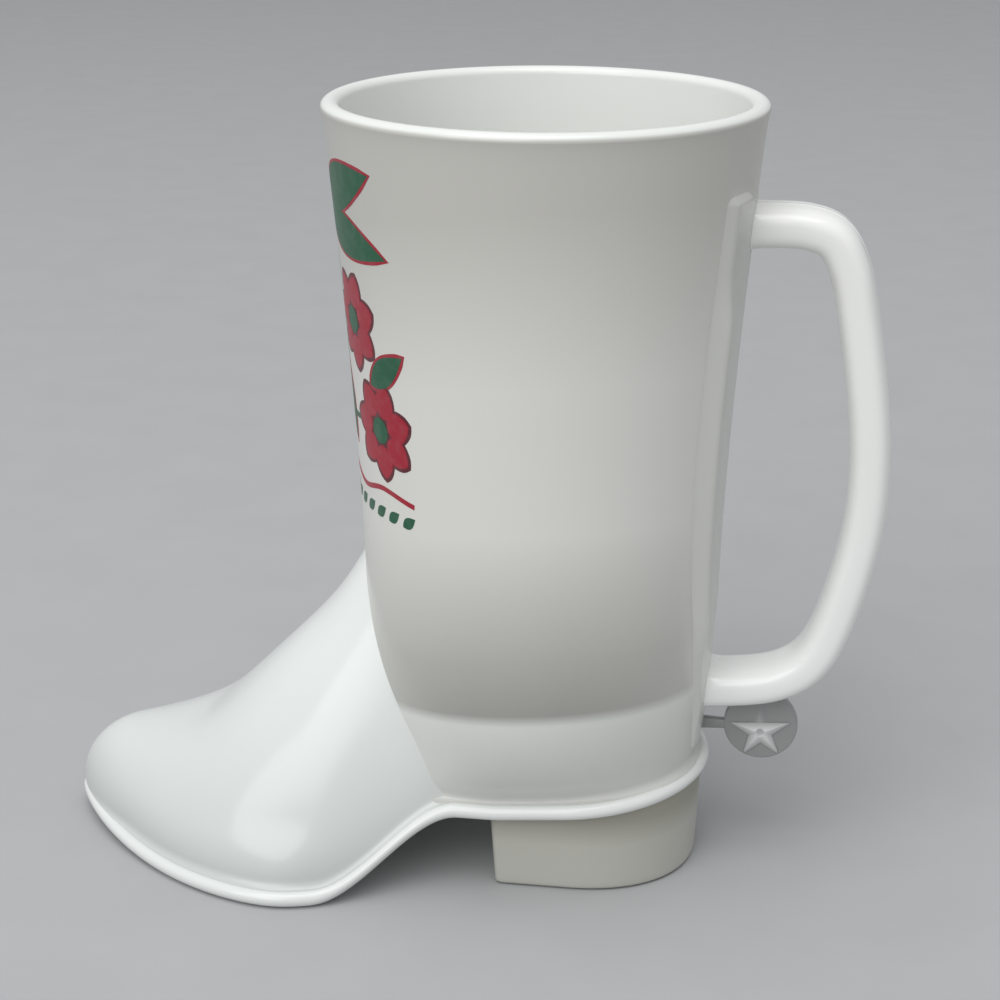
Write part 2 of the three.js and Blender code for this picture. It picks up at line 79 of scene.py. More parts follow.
# Sole height along the boot
TOE_SPRING = 2.7
SPRING_X = -72
ARCH_START_X = -43.4
ARCH_END_X = -14
HEEL_HEIGHT = 17.1
SEAT_START_X = -6
SEAT_RISE = 3.6
WELT_RADIUS = 1.6
WELT_LEDGE = 1.8
SOLE_THICKNESS = 2.8
FIT_GAP = 0.3

# Hollow curve by which the upper runs out onto the welt
WELT_FILLET = 1.8
WELT_FILLET_FADE = 5
SEAM_SINK = 0.02
SEAM_DROP = 0.7

# Foot
FOOT_WALL = 2.6
TOE_LEDGE = 0.4
TOE_LEDGE_LENGTH = 20
TOE_CAP_LENGTH = 12.7
TOE_CAP_HEIGHT = 13.4
TOE_SLOPE = 0.19
INSTEP_START_X = -74.8
INSTEP_SLOPE = 0.82
INSTEP_BLEND = 1.8
INSTEP_FLANK_BLEND = 6
COLLAR_START_X = -44
COLLAR_SLOPE = 0.79
COLLAR_BLEND = 2.5
TOE_SECTION_POWER = 1.1
INSTEP_SECTION_POWER = 2
CREST_POWER = 10
FOOT_BACK_X = -14.5
FOOT_END_X = -5
FOOT_SINK = 1.2
FOOT_TUCK = 2.2
FOOT_TUCK_START_X = -24
FLANK_SMOOTHING = 12
FLANK_SMOOTHING_RISE = 14
FLANK_SMOOTHING_START_X = -87
FLANK_SMOOTHING_END_X = -31

# Heel block
HEEL_SIDE_INSET_TOP = 2.2
HEEL_SIDE_INSET_BOTTOM = 4.6
HEEL_BACK_INSET_TOP = 1.4
HEEL_BACK_INSET_BOTTOM = 2.5
HEEL_SQUARENESS = 2.25
HEEL_BREAST_TOP_X = -7.6
HEEL_BREAST_BOTTOM_X = -6.6
HEEL_EDGE_ROUND = 0.9
HEEL_CORNER_ROUND = 1.4
HEEL_SINK = 0.8

# Strap up the back of the cup
STRAP_TOP_DROP = 16.5
STRAP_BOTTOM_HEIGHT = 28
STRAP_TOP_HALF_WIDTH = 20.7
STRAP_BOTTOM_HALF_WIDTH = 8.5
STRAP_TAPER = 3.8
STRAP_BEVEL = 1.6
STRAP_BOTTOM_FADE = 9
STRAP_CROWN = 1.6
STRAP_SEAT_DEPTH = 1.4
STRAP_CORNER = 2
STRAP_LOBE_RISE = 1.3
STRAP_LOBE_REACH = 14.5
STRAP_TOP_DIP = 4
STRAP_PROUD = 0.25
STRAP_SHOULDER_SHARPNESS = 8
STRAP_NARROW_END = 1.5
STRAP_NARROW_START = 14
STRAP_ROOT_SLOPE_SHARE = 0.5

# Handle
HANDLE_TOP_DROP = 24.5
HANDLE_BOTTOM_HEIGHT = 40.2
HANDLE_DEPTH = 15
HANDLE_ARM_THICKNESS = 8.4
HANDLE_GRIP_THICKNESS = 8.5
HANDLE_SQUARENESS = 3
HANDLE_ROOT_SINK = 1.6
HANDLE_ROOT_FLARE = 0.14
HANDLE_ROOT_FLARE_LENGTH = 2.2
HANDLE_ROOT_SPREAD = 1.6
HANDLE_ROOT_SPREAD_LENGTH = 1.2
PARTING_RIDGE_HEIGHT = 0.08
PARTING_RIDGE_HALF_WIDTH = 0.3
# Centre line from the upper to the lower root: reach from the strap, share of the height between roots
HANDLE_PATH = [
    (10.6, 0.999), (16, 0.98), (19.8, 0.926), (23.2, 0.823), (29.2, 0.527),
    (28.6, 0.314), (21.9, 0.078), (15.2, 0.023), (3.5, 0),
]

# Spur
ROWEL_REACH = 12.4
ROWEL_HEIGHT = 30.7
ROWEL_RADIUS = 7.95
ROWEL_THICKNESS = 2.2
ROWEL_RIM_ROUND = 0.35
STAR_POINTS = 5
STAR_RADIUS = 6.75
STAR_INNER_RADIUS = 2.58
STAR_DROP = 1.5
STAR_TURN = math.radians(3.3)
STAR_EDGE_RELIEF = 0.3
STAR_EDGE_SLOPE = 0.2
STAR_PEAK_RELIEF = 1.2
STAR_TOP_POINT_RELIEF = 0.3
STAR_TIP_MARGIN = 0.3
STAR_DISH_RADIUS = 1
STAR_DISH_FLOOR_RADIUS = 0.4
STAR_DISH_RELIEF = 0.45
SHANK_ROOT_HEIGHT = 3
SHANK_TIP_HEIGHT = 2.3
SHANK_ROOT_DEPTH = 2.4
SHANK_TIP_DEPTH = 2
SHANK_SQUARENESS = 3
SHANK_DROP = 0.5
SHANK_SINK = 1.2

# Print on the front of the shaft
INK_LIFT = 0.05
INK_STEP = 0.03
INK_SINK = 0.1
OUTLINE_WIDTH = 0.55
# Its places are a distance round the shaft from the toe's side and a height
# Stems: the points that they pass, their widths at the start and the end
STEMS = [
    ([(3, 93), (8, 106), (9, 124), (7, 145)], 1.9, 1.2),
    ([(8, 104), (15, 102), (24, 103)], 1.5, 1.0),
    ([(9, 118), (14, 119), (20, 123)], 1.5, 1.0),
]
# Leaves: base, tip and width
LEAVES = [
    ((8, 146), (36, 154), 9.5),
    ((8, 143), (38, 138), 8.5),
    ((9, 112), (14, 96), 6),
    ((27, 111), (39, 119), 5.5),
]
LEAF_BASE_FULLNESS = 0.85
LEAF_TIP_GROWTH = 1.6
LEAF_TIP_TAPER = 8
FLOWER_CENTRES = [(21, 123), (29, 102)]
FLOWER_RADIUS = 10
FLOWER_EYE_RADIUS = 2.7
FLOWER_TURN = 0.3
PETALS = 7
PETAL_START = 3
PETAL_WIDTH = 6.2
PETAL_FULLNESS = 0.7
BORDER_LINE = [(0, 88), (10, 89.5), (19, 88), (28, 89.5), (38, 88)]
BORDER_LINE_WIDTH = 1.1
BORDER_LEAVES = 8
BORDER_LEAF_SPACING = 4.8
BORDER_LEAF_LENGTH = 3.8
BORDER_LEAF_WIDTH = 2.4
BORDER_BOTTOM = 83
BORDER_TOP = 85.4

# Mesh fineness
CUP_SIDES = 192
SKIRT_STEPS = 44
SHAFT_STEPS = 40
LIP_STEPS = 18
INSIDE_STEPS = 40
FILLET_STEPS = 10
FOOT_STATIONS = 90
FOOT_SECTION_STEPS = 96
WELT_STEPS_PER_SIDE = 160
WELT_SIDES = 48
SOLE_STATIONS = 90
HEEL_BREAST_STEPS = 6
HEEL_CORNER_STEPS = 6
HEEL_SIDE_STEPS = 8
HEEL_BACK_STEPS = 28
HEEL_EDGE_STEPS = 5
HEEL_LEVELS = 14
STRAP_ROWS = 200
STRAP_COLUMNS = 72
HANDLE_STEPS_PER_SPAN = 40
HANDLE_STATIONS = 150
HANDLE_SIDES = 56
ROWEL_STEPS_PER_POINT = 24
ROWEL_RIM_STEPS = 6
SHANK_STATIONS = 8
SHANK_SIDES = 24
LEAF_ROWS = 18
LEAF_COLUMNS = 6
SPOT_STEPS = 10
STROKE_STEPS_PER_SPAN = 12
FOOT_END_HALVINGS = 40


def lerp(start, end, share):
    return start + (end - start) * share


def clamp(value, low=0.0, high=1.0):
    return min(max(value, low), high)


def smoothstep(value, low, high):
    share = clamp((value - low) / (high - low))
    return share * share * (3 - 2 * share)


def signed_power(value, power):
    return math.copysign(abs(value) ** power, value)


def spread(count):
    """Evenly spaced values from 0 to 1."""
    return [step / count for step in range(count + 1)]


def turns(count):
    """Evenly spaced angles round a full turn."""
    return [2 * math.pi * step / count for step in range(count)]


# Meshes, as lists of points and faces


def grid_faces(rows, columns, wrap=False):
    """Quads over points stored row by row, each row closed on itself if it wraps."""
    faces = []
    for row in range(rows - 1):
        for column in range(columns if wrap else columns - 1):
            beside = (column + 1) % columns
            near, far = row * columns, (row + 1) * columns
            faces.append((near + column, near + beside, far + beside, far + column))
    return faces


def loft(rings, capped=True):
    """Skin over a row of rings, its two ends closed by flat faces."""
    count = len(rings[0])
    points = [point for ring in rings for point in ring]
    faces = grid_faces(len(rings), count, wrap=True)
    if capped:
        last = (len(rings) - 1) * count
        faces.append(tuple(reversed(range(count))))
        faces.append(tuple(range(last, last + count)))
    return points, faces


def slab(outer, inner, first_row_meets=False):
    """Closed sheet between two grids of the same size, whose first rows may be edges already closed."""
    rows, columns = len(outer), len(outer[0])
    points = [point for row in outer + inner for point in row]
    behind = rows * columns
    front_faces = grid_faces(rows, columns)
    back_faces = [tuple(behind + corner for corner in reversed(face)) for face in front_faces]
    first_side = [row * columns for row in range(rows)]
    last_side = [row * columns + columns - 1 for row in range(rows)]
    last_row = [(rows - 1) * columns + column for column in range(columns)]
    borders = [first_side, last_side, last_row]
    if not first_row_meets:
        borders.append(list(range(columns)))
    rim_faces = []
    for border in borders:
        for here, there in zip(border, border[1:]):
            rim_faces.append((here, there, behind + there, behind + here))
    return points, front_faces + back_faces + rim_faces


def join(parts):
    """Several lists of points and faces as one."""
    points, faces = [], []
    for part_points, part_faces in parts:
        start = len(points)
        points += part_points
        faces += [tuple(start + corner for corner in face) for face in part_faces]
    return points, faces


def add_piece(name, shape, material, nodes=(), sharp_angle=35):
    """Mesh object that rides on the mug's one body and stands in for any of its solids."""
    points, faces = shape
    mesh = bpy.data.meshes.new(name)
    mesh.from_pydata([Vector(point) * MM for point in points], [], faces)
    work = bmesh.new()
    work.from_mesh(mesh)
    bmesh.ops.remove_doubles(work, verts=work.verts, dist=MERGE_DISTANCE)
    bmesh.ops.recalc_face_normals(work, faces=work.faces)
    work.to_mesh(mesh)
    work.free()
    mesh.shade_smooth()
    mesh.set_sharp_from_angle(angle=math.radians(sharp_angle))
    mesh.materials.append(material)
    piece = bpy.data.objects.new(name, mesh)
    bpy.context.scene.collection.objects.link(piece)
    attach(piece, "root")
    if nodes:
        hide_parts(*nodes)


# Shared outlines of the mug


def welt_bottom(x):
    """Height of the welt's underside: toe spring, flat ball, arch, then the rising heel seat."""
    spring = TOE_SPRING * clamp((SPRING_X - x) / (SPRING_X - TOE_X)) ** 2
    arch = HEEL_HEIGHT * smoothstep(x, ARCH_START_X, ARCH_END_X)
    seat = SEAT_RISE * clamp((x - SEAT_START_X) / (HEEL_X - SEAT_START_X))
    return spring + arch + seat


def welt_centre(x):
    return welt_bottom(x) + WELT_RADIUS


def upper_base(x):
    """Height of the foot's and the skirt's lower edge in the solids, just over the welt."""
    return welt_centre(x) + WELT_RADIUS + FIT_GAP


def seam_height(x):
    """Height at which the foot and the skirt run out onto the welt's crest."""
    return welt_centre(x) + WELT_RADIUS - SEAM_SINK


def run_out(rise):
    """How far the upper stands out at a rise over the seam: it draws in, then runs out over a fillet."""
    drawn_in = (WELT_FILLET + WELT_RADIUS - WELT_LEDGE) * math.exp(-rise / WELT_FILLET_FADE)
    below = clamp(WELT_FILLET - rise, 0, WELT_FILLET)
    return WELT_FILLET - math.sqrt(WELT_FILLET ** 2 - below ** 2) - drawn_in


def plan_half_width(x, inset):
    """Half width of the sole's outline, drawn in by an inset."""
    ball = BALL_HALF_WIDTH - inset
    heel = HEEL_HALF_WIDTH - inset
    heel_centre = HEEL_X - HEEL_HALF_WIDTH
    if x < BALL_X:
        tip = TOE_X + inset
        share = clamp((x - tip) / (BALL_X - tip))
        return ball * (1 - (1 - share) ** TOE_POINTEDNESS) ** TOE_SHARPNESS
    if x < heel_centre:
        return lerp(ball, heel, smoothstep(x, BALL_X, WAIST_X))
    return math.sqrt(max(heel ** 2 - (x - heel_centre) ** 2, 0))


def plan_stations(count, inset):
    """Places along the outline from toe to heel, close together at both round ends."""
    return [
        lerp(TOE_X + inset, HEEL_X - inset, (1 - math.cos(math.pi * share)) / 2)
        for share in spread(count)
    ]


def shaft_radius(z):
    share = clamp((z - ANKLE_HEIGHT) / (CUP_HEIGHT - ANKLE_HEIGHT))
    return lerp(ANKLE_RADIUS, RIM_RADIUS, share ** FLARE_POWER)


def skirt_section(share, along):
    """The skirt's reach to the side, its reach to the back, or the front where along is negative, and its
    section's power, at a share of the way from ankle to welt."""
    curved = share ** SKIRT_CURVE
    squared = share ** SKIRT_SQUARING
    side = lerp(ANKLE_RADIUS, HEEL_HALF_WIDTH - WELT_LEDGE, curved)
    if along > 0:
        back = lerp(ANKLE_RADIUS, HEEL_X - WELT_LEDGE, share)
        return side, back, 2 / lerp(2, SKIRT_BACK_SQUARENESS, squared)
    front = lerp(ANKLE_RADIUS, SKIRT_FRONT_REACH, curved)
    return side, front, 2 / lerp(2, SKIRT_FRONT_SQUARENESS, squared)


def skirt_share(z, x):
    return clamp((ANKLE_HEIGHT - z) / (ANKLE_HEIGHT - upper_base(max(x, WAIST_X))))


def back_x(z):
    """X of the cup's back, on the centre plane."""
    if z < ANKLE_HEIGHT:
        return skirt_section(skirt_share(z, HEEL_X), HEEL_X)[1]
    return shaft_radius(z)


def cup_surface_x(z, y, depth=0.0):
    """X of the cup's back at a height and a distance off the centre plane, drawn in by a depth."""
    side, back, power = skirt_section(skirt_share(z, HEEL_X), HEEL_X)
    if z >= ANKLE_HEIGHT:
        side, back, power = shaft_radius(z), shaft_radius(z), 1
    exponent = 2 / power
    return (back - depth) * (1 - min(abs(y) / (side - depth), 1) ** exponent) ** (1 / exponent)


def is_in_cup(point, depth):
    """Whether a point on the toe's side lies under the cup's outer surface by a depth."""
    x, y, z = point
    if z >= ANKLE_HEIGHT:
        return math.hypot(x, y) < shaft_radius(z) - depth
    side, front, power = skirt_section(skirt_share(z, x), TOE_X)
    inset = depth - run_out(max(z - seam_height(x), 0))
    exponent = 2 / power
    return abs(x / (front - inset)) ** exponent + abs(y / (side - inset)) ** exponent < 1


# Cup, from under its floor, over the skirt and the lip, to the floor inside


def circle(radius, z):
    return [(radius * math.cos(angle), radius * math.sin(angle), z) for angle in turns(CUP_SIDES)]


def skirt_ring(share, top_height, inset=None, drop=0):
    """Ring round the skirt, from a top height at share 0 to the welt at share 1, inside it by any inset."""
    ring = []
    for angle in turns(CUP_SIDES):
        across, along = math.sin(angle), math.cos(angle)
        _, rough_reach, rough_power = skirt_section(share, along)
        rough_x = signed_power(along, rough_power) * rough_reach
        base = seam_height(max(rough_x, WAIST_X))
        z = lerp(top_height, base, share)
        side, reach, power = skirt_section(skirt_share(z, rough_x), along)
        out = -inset if inset else run_out(z - base)
        x = (reach + out) * signed_power(along, power)
        ring.append((x, (side + out) * signed_power(across, power), z - drop))
    return ring


def cup_shape():
    lip_height = CUP_HEIGHT - CUP_WALL / 2
    lip_outside = shaft_radius(lip_height) + LIP_BULGE
    lip_inside = shaft_radius(lip_height) - CUP_WALL
    lip_middle = (lip_outside + lip_inside) / 2
    fillet_top = FLOOR_HEIGHT + FLOOR_THICKNESS + FLOOR_FILLET
    fillet_radius = shaft_radius(fillet_top) - CUP_WALL - FLOOR_FILLET
    profile = []
    for share in spread(SHAFT_STEPS)[1:]:
        z = lerp(ANKLE_HEIGHT, lip_height, 1 - (1 - share) ** 2)
        bulge = LIP_BULGE * math.exp((z - lip_height) / LIP_BULGE_LENGTH)
        profile.append((shaft_radius(z) + bulge, z))
    for share in spread(LIP_STEPS)[1:]:
        angle = math.pi * share
        out = (lip_outside - lip_inside) / 2 * math.cos(angle)
        profile.append((lip_middle + out, lip_height + CUP_WALL / 2 * math.sin(angle)))
    for share in spread(INSIDE_STEPS)[1:]:
        z = lerp(lip_height, fillet_top, share)
        profile.append((shaft_radius(z) - CUP_WALL, z))
    for share in spread(FILLET_STEPS)[1:]:
        angle = math.pi / 2 * share
        profile.append((
            fillet_radius + FLOOR_FILLET * math.cos(angle),
            fillet_top - FLOOR_FILLET * math.sin(angle),
        ))
    shares = [1 - (1 - share) ** 2 for share in spread(SKIRT_STEPS)]
    rings = [skirt_ring(share, FLOOR_HEIGHT, CUP_WALL) for share in shares]
    rings.append(skirt_ring(1, FLOOR_HEIGHT, CUP_WALL, SEAM_DROP))
    rings.append(skirt_ring(1, ANKLE_HEIGHT, drop=SEAM_DROP))
    rings += [skirt_ring(share, ANKLE_HEIGHT) for share in reversed(shares)]
    rings += [circle(radius, z) for radius, z in profile]
    return loft(rings)


# Foot


def ledge_share(x):
    """How much of its full width the welt shows round the foot, growing from the tip of the toe."""
    return smoothstep(x, TOE_X, TOE_X + TOE_LEDGE_LENGTH)


def soft_ramp(x, start, blend):
    """Distance past a starting place, coming in softly over a blend."""
    return blend * math.log1p(math.exp((x - start) / blend))


def top_height(x, tip, blend):
    """Height of the foot's top: a round toe cap on a gentle slope, then the instep's climb over a blend."""
    share = clamp((x - tip) / TOE_CAP_LENGTH)
    cap = TOE_CAP_HEIGHT * math.sqrt(1 - (1 - share) ** 2)
    climb = INSTEP_SLOPE * soft_ramp(x, INSTEP_START_X, blend)
    return upper_base(TOE_X) + cap + TOE_SLOPE * (x - tip) + climb


def flank_half_width(x, rise, inset):
    """Half width of the foot at a rise over the welt: the bend at the ball is gentler higher up."""
    near_ball = smoothstep(x, FLANK_SMOOTHING_START_X, BALL_X)
    near_ball *= 1 - smoothstep(x, BALL_X, FLANK_SMOOTHING_END_X)
    reach = FLANK_SMOOTHING * near_ball * smoothstep(rise, 0, FLANK_SMOOTHING_RISE)
    ends = plan_half_width(x - reach, inset) + plan_half_width(x + reach, inset)
    return (plan_half_width(x, inset) + ends) / 3


def foot_point(x, angle, drop, inset):
    """Point of the foot's outside, or of its inside where there is an inset."""
    tip = TOE_X + TOE_LEDGE + inset
    base = seam_height(x)
    tuck = FOOT_TUCK * smoothstep(x, FOOT_TUCK_START_X, FOOT_END_X)
    ledge = lerp(TOE_LEDGE, WELT_LEDGE, ledge_share(x))
    power = lerp(TOE_SECTION_POWER, INSTEP_SECTION_POWER, smoothstep(x, TOE_X, FOOT_BACK_X))
    upward = abs(math.sin(angle))
    crest = upward ** CREST_POWER
    top = top_height(x, tip, lerp(INSTEP_FLANK_BLEND, INSTEP_BLEND, crest)) - inset
    collar = COLLAR_SLOPE * soft_ramp(x, COLLAR_START_X, COLLAR_BLEND)
    rise = (max(top, base + FOOT_WALL) - base) * upward ** power + collar * crest
    out = 0 if inset else ledge_share(x) * run_out(rise)
    half_width = flank_half_width(x, rise, ledge + inset) - tuck + out
    return x, -half_width * math.cos(angle), base + rise - drop


def foot_end(angle, drop, inset):
    """X at which a line along the foot has sunk into the cup's wall."""
    outside, inside = TOE_X, FOOT_END_X
    for _ in range(FOOT_END_HALVINGS):
        middle = (outside + inside) / 2
        if is_in_cup(foot_point(middle, angle, drop, inset), FOOT_SINK):
            inside = middle
        else:
            outside = middle
    return inside


def foot_sheet(inset):
    angles = [math.pi * smoothstep(share, 0, 1) for share in spread(FOOT_SECTION_STEPS)]
    lines = [(0, SEAM_DROP)]
    lines += [(angle, 0) for angle in angles]
    lines += [(math.pi, SEAM_DROP)]
    ends = [foot_end(angle, drop, inset) for angle, drop in lines]
    tip = TOE_X + TOE_LEDGE + inset
    sheet = []
    for share in spread(FOOT_STATIONS):
        eased = 1 - math.cos(share * math.pi / 2)
        sheet.append([
            foot_point(lerp(tip, end, eased), angle, drop, inset)
            for (angle, drop), end in zip(lines, ends)
        ])
    return sheet


def foot_shape():
    return slab(foot_sheet(0), foot_sheet(FOOT_WALL), first_row_meets=True)


# Welt, sole and heel


def welt_shape():
    near = [(x, -plan_half_width(x, WELT_RADIUS)) for x in plan_stations(WELT_STEPS_PER_SIDE, WELT_RADIUS)]
    far = [(x, -y) for x, y in reversed(near[1:-1])]
    path = near + far
    rings = []
    for index, (x, y) in enumerate(path):
        before = Vector(path[index - 1])
        after = Vector(path[(index + 1) % len(path)])
        along = (after - before).normalized()
        ring = []
        for angle in turns(WELT_SIDES):
            out = WELT_RADIUS * math.cos(angle)
            ring_x = x + along.y * out
            ring.append((ring_x, y - along.x * out, welt_centre(ring_x) + WELT_RADIUS * math.sin(angle)))
        rings.append(ring)
    return loft(rings + rings[:1], capped=False)


def sole_shape():
    rings = []
    for x in plan_stations(SOLE_STATIONS, WELT_RADIUS)[1:-1]:
        half_width = plan_half_width(x, WELT_RADIUS)
        bottom = welt_bottom(x)
        top = bottom + SOLE_THICKNESS
        rings.append([
            (x, -half_width, bottom), (x, 0, bottom), (x, half_width, bottom),
            (x, half_width, top), (x, 0, top), (x, -half_width, top),
        ])
    return loft(rings)


def heel_outline(z, inset):
    """Heel seen from above: straight breast with round corners, round back."""
    share = z / (HEEL_HEIGHT + SEAT_RISE)
    half_width = HEEL_HALF_WIDTH - lerp(HEEL_SIDE_INSET_BOTTOM, HEEL_SIDE_INSET_TOP, share) - inset
    reach = HEEL_HALF_WIDTH - lerp(HEEL_BACK_INSET_BOTTOM, HEEL_BACK_INSET_TOP, share) - inset
    breast = lerp(HEEL_BREAST_BOTTOM_X, HEEL_BREAST_TOP_X, share) + inset
    centre = HEEL_X - HEEL_HALF_WIDTH
    corner = HEEL_CORNER_ROUND
    near_half = []
    for step in spread(HEEL_BREAST_STEPS):
        near_half.append((breast, -(half_width - corner) * step))
    for step in spread(HEEL_CORNER_STEPS)[1:]:
        angle = math.pi / 2 * step
        near_half.append((
            breast + corner * (1 - math.cos(angle)),
            -half_width + corner * (1 - math.sin(angle)),
        ))
    for step in spread(HEEL_SIDE_STEPS)[1:]:
        near_half.append((lerp(breast + corner, centre, step), -half_width))
    for step in spread(HEEL_BACK_STEPS)[1:]:
        angle = math.pi / 2 * (1 - step)
        near_half.append((
            centre + reach * math.cos(angle) ** (2 / HEEL_SQUARENESS),
            -half_width * math.sin(angle) ** (2 / HEEL_SQUARENESS),
        ))
    far_half = [(x, -y) for x, y in reversed(near_half[1:-1])]
    return near_half + far_half


def heel_shape():
    rings = []
    for step in spread(HEEL_EDGE_STEPS):
        angle = math.pi / 2 * step
        inset = HEEL_EDGE_ROUND * (1 - math.sin(angle))
        z = HEEL_EDGE_ROUND * (1 - math.cos(angle))
        rings.append([(x, y, z) for x, y in heel_outline(z, inset)])
    for step in spread(HEEL_LEVELS)[1:]:
        level = lerp(HEEL_EDGE_ROUND, HEEL_HEIGHT, step)
        ring = []
        for x, y in heel_outline(level, 0):
            top = welt_bottom(x) + HEEL_SINK
            ring.append((x, y, lerp(HEEL_EDGE_ROUND, top, step)))
        rings.append(ring)
    return loft(rings)


# Strap and handle

strap_top = CUP_HEIGHT - STRAP_TOP_DROP
handle_top = CUP_HEIGHT - HANDLE_TOP_DROP


def strap_half_width(z):
    share = clamp((z - STRAP_BOTTOM_HEIGHT) / (strap_top - STRAP_BOTTOM_HEIGHT))
    return lerp(STRAP_BOTTOM_HALF_WIDTH, STRAP_TOP_HALF_WIDTH, 1 - (1 - share) ** STRAP_TAPER)


def strap_end(y):
    """Height of the strap's top edge, a low lobe on each side of the handle with a dip between the two."""
    dip = STRAP_TOP_DIP * (1 - smoothstep(abs(y), STRAP_LOBE_REACH - HANDLE_DEPTH, STRAP_LOBE_REACH))
    return strap_top + STRAP_LOBE_RISE - dip


def strap_edge_distance(z, y):
    """Distance in from the strap's outline, whose four corners are round."""
    past_side = abs(y) - (strap_half_width(z) - STRAP_CORNER)
    past_end = max(z - strap_end(y), STRAP_BOTTOM_HEIGHT - z) + STRAP_CORNER
    if past_side > 0 and past_end > 0:
        return STRAP_CORNER - math.hypot(past_side, past_end)
    return STRAP_CORNER - max(past_side, past_end)


def strap_root_share(z):
    """How near a height is to a root of the handle, from 0 well between the two to 1 at them and beyond."""
    gap = min(z - HANDLE_BOTTOM_HEIGHT, handle_top - z) - HANDLE_ARM_THICKNESS / 2
    return 1 - smoothstep(gap, STRAP_NARROW_END, STRAP_NARROW_START)


def shoulder(share):
    """A straight rise from 0 that turns level at 1 over a small round."""
    rise = max(share, 0)
    return rise / (1 + rise ** STRAP_SHOULDER_SHARPNESS) ** (1 / STRAP_SHOULDER_SHARPNESS)


def strap_point(z, y):
    """Point of the strap's face: a flat crown with a bevel, sloping away on both sides of the roots."""
    crown = back_x(z) - STRAP_CROWN * (y / (STRAP_TOP_HALF_WIDTH - STRAP_BEVEL)) ** 2 + STRAP_PROUD
    seat = cup_surface_x(z, y) - STRAP_PROUD
    fade_in = (z - STRAP_BOTTOM_HEIGHT) / STRAP_BOTTOM_FADE
    bevel = shoulder(min(strap_edge_distance(z, y) / STRAP_BEVEL, fade_in))
    slope = shoulder((strap_half_width(z) - abs(y)) / (strap_half_width(z) - HANDLE_DEPTH / 2))
    rise = bevel * lerp(1, slope, STRAP_ROOT_SLOPE_SHARE * strap_root_share(z))
    return lerp(seat, max(crown, seat), rise), y, z


def strap_shape():
    outer, inner = [], []
    for share in spread(STRAP_ROWS):
        level = (1 - math.cos(math.pi * share)) / 2
        z = lerp(STRAP_BOTTOM_HEIGHT, strap_top + STRAP_LOBE_RISE, level)
        across = [
            strap_half_width(z) * math.sin(math.pi * (step - 0.5))
            for step in spread(STRAP_COLUMNS)
        ]
        outer.append([strap_point(z, y) for y in across])
        inner.append([(cup_surface_x(z, y, STRAP_SEAT_DEPTH), y, z) for y in across])
    return slab(outer, inner)


def spline(points, steps_per_span):
    """Points on the centripetal spline through a row of points."""
    first = points[0] * 2 - points[1]
    last = points[-1] * 2 - points[-2]
    row = [first] + points + [last]
    found = []
    for before, start, end, after in zip(row, row[1:], row[2:], row[3:]):
        lead = math.sqrt((start - before).length)
        span = math.sqrt((end - start).length)
        trail = math.sqrt((after - end).length)
        leave = (start - before) / lead - (end - before) / (lead + span) + (end - start) / span
        arrive = (end - start) / span - (after - start) / (span + trail) + (after - end) / trail
        leave *= span
        arrive *= span
        for step in range(steps_per_span):
            t = step / steps_per_span
            found.append(
                start * (2 * t ** 3 - 3 * t ** 2 + 1) + leave * (t ** 3 - 2 * t ** 2 + t)
                + end * (3 * t ** 2 - 2 * t ** 3) + arrive * (t ** 3 - t ** 2)
            )
    return found + [points[-1]]


def evenly_along(points, count):
    """Points at even distances along a row of points, and the row's length."""
    distances = [0.0]
    for here, there in zip(points, points[1:]):
        distances.append(distances[-1] + (there - here).length)
    found = []
    index = 0
    for share in spread(count):
        wanted = share * distances[-1]
        while index < len(points) - 2 and distances[index + 1] < wanted:
            index += 1
        part = (wanted - distances[index]) / (distances[index + 1] - distances[index])
        found.append(points[index].lerp(points[index + 1], clamp(part)))
    return found, distances[-1]


def handle_section(half_thickness, half_depth):
    """Rounded rectangle as (outward, side) pairs, with the mould's fine parting ridge on its outer side."""
    ridge = [
        (half_thickness, -PARTING_RIDGE_HALF_WIDTH),
        (half_thickness + PARTING_RIDGE_HEIGHT, -PARTING_RIDGE_HALF_WIDTH / 3),
        (half_thickness + PARTING_RIDGE_HEIGHT, PARTING_RIDGE_HALF_WIDTH / 3),
        (half_thickness, PARTING_RIDGE_HALF_WIDTH),
    ]
    power = 2 / HANDLE_SQUARENESS
    rest = []
    for angle in turns(HANDLE_SIDES)[1:]:
        out = half_thickness * signed_power(math.cos(angle), power)
        rest.append((out, half_depth * signed_power(math.sin(angle), power)))
    return ridge + rest


def handle_shape():
    heights = [lerp(HANDLE_BOTTOM_HEIGHT, handle_top, share) for _, share in HANDLE_PATH]
    between = [Vector((back_x(z) + reach, 0, z)) for (reach, _), z in zip(HANDLE_PATH, heights)]
    roots = [Vector((back_x(z) - HANDLE_ROOT_SINK, 0, z)) for z in (handle_top, HANDLE_BOTTOM_HEIGHT)]
    line = spline([roots[0]] + between + [roots[1]], HANDLE_STEPS_PER_SPAN)
    centres, length = evenly_along(line, HANDLE_STATIONS)
    rings = []
    for index, centre in enumerate(centres):
        along = centres[min(index + 1, HANDLE_STATIONS)] - centres[max(index - 1, 0)]
        along.normalize()
        outward = Vector((-along.z, 0, along.x))
        share = index / HANDLE_STATIONS
        to_root = length * min(share, 1 - share)
        flare = 1 + HANDLE_ROOT_FLARE * math.exp(-to_root / HANDLE_ROOT_FLARE_LENGTH)
        thickness = lerp(HANDLE_ARM_THICKNESS, HANDLE_GRIP_THICKNESS, math.sin(math.pi * share))
        root_spread = HANDLE_ROOT_SPREAD * math.exp(-to_root / HANDLE_ROOT_SPREAD_LENGTH)
        section = handle_section(flare * thickness / 2, HANDLE_DEPTH / 2 + root_spread)
        rings.append([centre + outward * out + Vector((0, side, 0)) for out, side in section])
    return loft(rings)


# Spur

